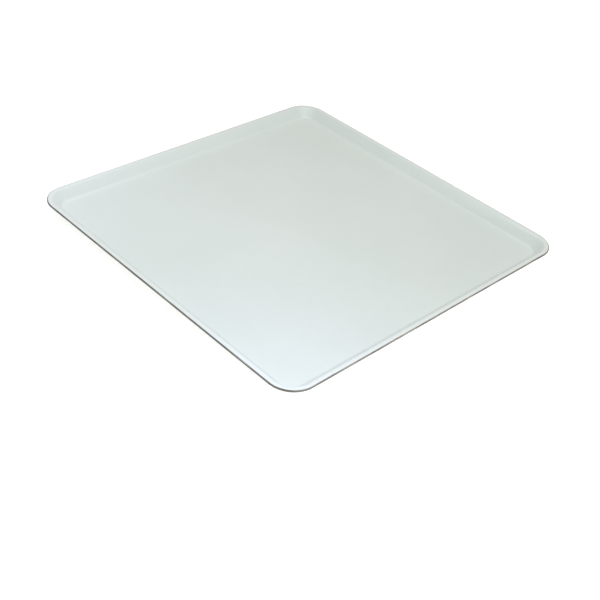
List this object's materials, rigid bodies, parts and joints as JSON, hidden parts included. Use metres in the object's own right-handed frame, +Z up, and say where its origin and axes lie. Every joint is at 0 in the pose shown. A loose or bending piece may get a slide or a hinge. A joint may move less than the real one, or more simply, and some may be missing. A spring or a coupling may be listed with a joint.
{
  "type": "mortar board",
  "caption": "Square one-piece moulded mortar board with rounded corners, a low sloping wall on all four sides and a flat lip.",
  "frame": {"origin": "middle of the underside of the floor panel, on the plane that the board rests on", "axes": "+Z up, out of the pan's open side; X and Y run along the board's sides"},
  "size_m": [0.61, 0.61, 0.02],
  "materials": {
    "gelcoat_fibreglass": "pale grey-white gelcoat with a soft gloss on the top face, trimmed laminate at the edge, and matt glass-fibre laminate underneath"
  },
  "bodies": {
    "root": {"mortar_board": "gelcoat_fibreglass"}
  },
  "joints": []
}
